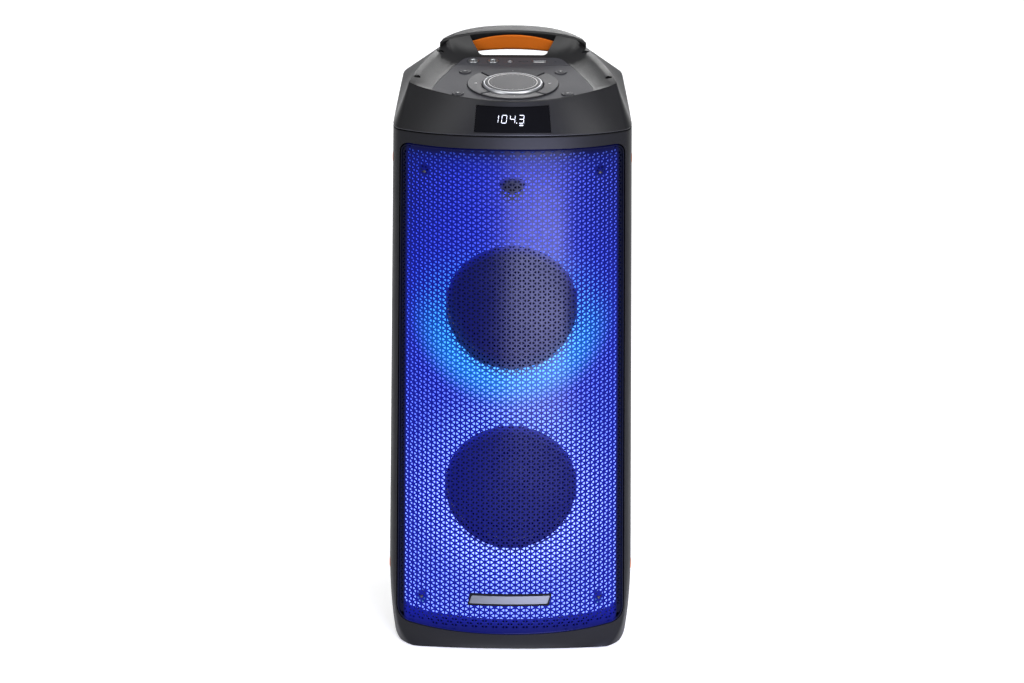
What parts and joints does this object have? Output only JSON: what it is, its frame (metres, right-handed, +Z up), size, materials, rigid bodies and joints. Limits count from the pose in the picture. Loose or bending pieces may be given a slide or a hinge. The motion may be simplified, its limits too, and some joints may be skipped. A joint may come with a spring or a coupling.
{
  "type": "party speaker",
  "caption": "Tall portable party speaker with stacked woofers behind a lit perforated grille, and a control deck with a knob under an arched carry handle.",
  "frame": {"origin": "middle of the bounding box footprint at floor level", "axes": "+Z up, the grille faces -Y, +X to the right seen from the front"},
  "size_m": [0.267, 0.2598, 0.6636],
  "materials": {
    "black_plastic": "satin moulded plastic",
    "deck_plastic": "satin moulded plastic",
    "key_plastic": "satin moulded plastic",
    "orange_rubber": "soft matte",
    "grille_paint": "powder coated",
    "light_diffuser": "lit blue from behind",
    "gloss_window": "polished",
    "knob_metal": "satin turned",
    "steel": "pressed",
    "chrome": "polished",
    "ferrite": "matte",
    "cone_paper": "pressed paper",
    "rubber": "matte",
    "baffle_board": "painted fibreboard",
    "circuit_board": "solder mask",
    "cell_wrap": "shrink wrap",
    "copper": "enamelled winding"
  },
  "bodies": {
    "cabinet": {"amplifier_board": "circuit_board", "audio_jack": "steel", "badge_plate": "gloss_window", "battery_pack": "cell_wrap", "bumper_left_lower": "orange_rubber", "bumper_left_upper": "orange_rubber", "bumper_right_lower": "orange_rubber", "bumper_right_upper": "orange_rubber", "cabinet_shell": "black_plastic", "control_board": "circuit_board", "control_deck": "deck_plastic", "display_window": "gloss_window", "foot_1": "rubber", "foot_2": "rubber", "foot_3": "rubber", "foot_4": "rubber", "front_baffle": "baffle_board", "front_grille": "grille_paint", "handle_bar": "black_plastic", "handle_grip": "orange_rubber", "jack_strip": "deck_plastic", "led_panel": "light_diffuser", "mic_jack_left": "chrome", "mic_jack_right": "chrome", "port_tube": "black_plastic", "power_board": "circuit_board", "power_inlet": "black_plastic", "rear_panel": "black_plastic", "top_housing": "black_plastic", "tweeter_face_ring": "black_plastic", "tweeter_magnet": "ferrite", "usb_port": "steel", "woofer_lower_basket": "steel", "woofer_lower_magnet": "ferrite", "woofer_lower_spider": "cone_paper", "woofer_lower_surround": "rubber", "woofer_upper_basket": "steel", "woofer_upper_magnet": "ferrite", "woofer_upper_spider": "cone_paper", "woofer_upper_surround": "rubber"},
    "volume_knob": {"volume_knob": "knob_metal"},
    "power_switch": {"power_switch": "black_plastic"},
    "tweeter_dome": {"tweeter_dome": "cone_paper"},
    "key_front": {"key_front": "key_plastic"},
    "key_rear": {"key_rear": "key_plastic"},
    "key_left": {"key_left": "key_plastic"},
    "key_right": {"key_right": "key_plastic"},
    "button_front_left": {"button_front_left": "key_plastic"},
    "button_front_right": {"button_front_right": "key_plastic"},
    "button_rear_left": {"button_rear_left": "key_plastic"},
    "button_rear_right": {"button_rear_right": "key_plastic"},
    "woofer_lower_cone": {"woofer_lower_cone": "cone_paper", "woofer_lower_dust_cap": "rubber", "woofer_lower_voice_coil": "copper"},
    "woofer_upper_cone": {"woofer_upper_cone": "cone_paper", "woofer_upper_dust_cap": "rubber", "woofer_upper_voice_coil": "copper"}
  },
  "joints": [
    {"name": "volume_turn", "type": "hinge", "parent": "cabinet", "child": "volume_knob", "pos_m": [0, -0.0585, 0.642], "axis": [0, 0, 1], "continuous": true},
    {"name": "key_front_press", "type": "slide", "parent": "cabinet", "child": "key_front", "axis": [0, 0, -1], "range_m": [0, 0.001], "stiffness_N_per_m": 600, "springref_m": -0.0004},
    {"name": "key_rear_press", "type": "slide", "parent": "cabinet", "child": "key_rear", "axis": [0, 0, -1], "range_m": [0, 0.001], "stiffness_N_per_m": 600, "springref_m": -0.0004},
    {"name": "key_left_press", "type": "slide", "parent": "cabinet", "child": "key_left", "axis": [0, 0, -1], "range_m": [0, 0.001], "stiffness_N_per_m": 600, "springref_m": -0.0004},
    {"name": "key_right_press", "type": "slide", "parent": "cabinet", "child": "key_right", "axis": [0, 0, -1], "range_m": [0, 0.001], "stiffness_N_per_m": 600, "springref_m": -0.0004},
    {"name": "button_front_left_press", "type": "slide", "parent": "cabinet", "child": "button_front_left", "axis": [0, 0, -1], "range_m": [0, 0.0012], "stiffness_N_per_m": 600, "springref_m": -0.0004},
    {"name": "button_front_right_press", "type": "slide", "parent": "cabinet", "child": "button_front_right", "axis": [0, 0, -1], "range_m": [0, 0.0012], "stiffness_N_per_m": 600, "springref_m": -0.0004},
    {"name": "button_rear_left_press", "type": "slide", "parent": "cabinet", "child": "button_rear_left", "axis": [0, 0, -1], "range_m": [0, 0.0012], "stiffness_N_per_m": 600, "springref_m": -0.0004},
    {"name": "button_rear_right_press", "type": "slide", "parent": "cabinet", "child": "button_rear_right", "axis": [0, 0, -1], "range_m": [0, 0.0012], "stiffness_N_per_m": 600, "springref_m": -0.0004},
    {"name": "power_switch_rock", "type": "hinge", "parent": "cabinet", "child": "power_switch", "pos_m": [-0.03, 0.1224, 0.105], "axis": [1, 0, 0], "range_deg": [0, 14]},
    {"name": "woofer_lower_stroke", "type": "slide", "parent": "cabinet", "child": "woofer_lower_cone", "axis": [0, -1, 0], "range_m": [-0.003, 0.003], "stiffness_N_per_m": 2500},
    {"name": "woofer_upper_stroke", "type": "slide", "parent": "cabinet", "child": "woofer_upper_cone", "axis": [0, -1, 0], "range_m": [-0.003, 0.003], "stiffness_N_per_m": 2500},
    {"name": "tweeter_stroke", "type": "slide", "parent": "cabinet", "child": "tweeter_dome", "axis": [0, -1, 0], "range_m": [-0.0003, 0.0003], "stiffness_N_per_m": 3000}
  ]
}
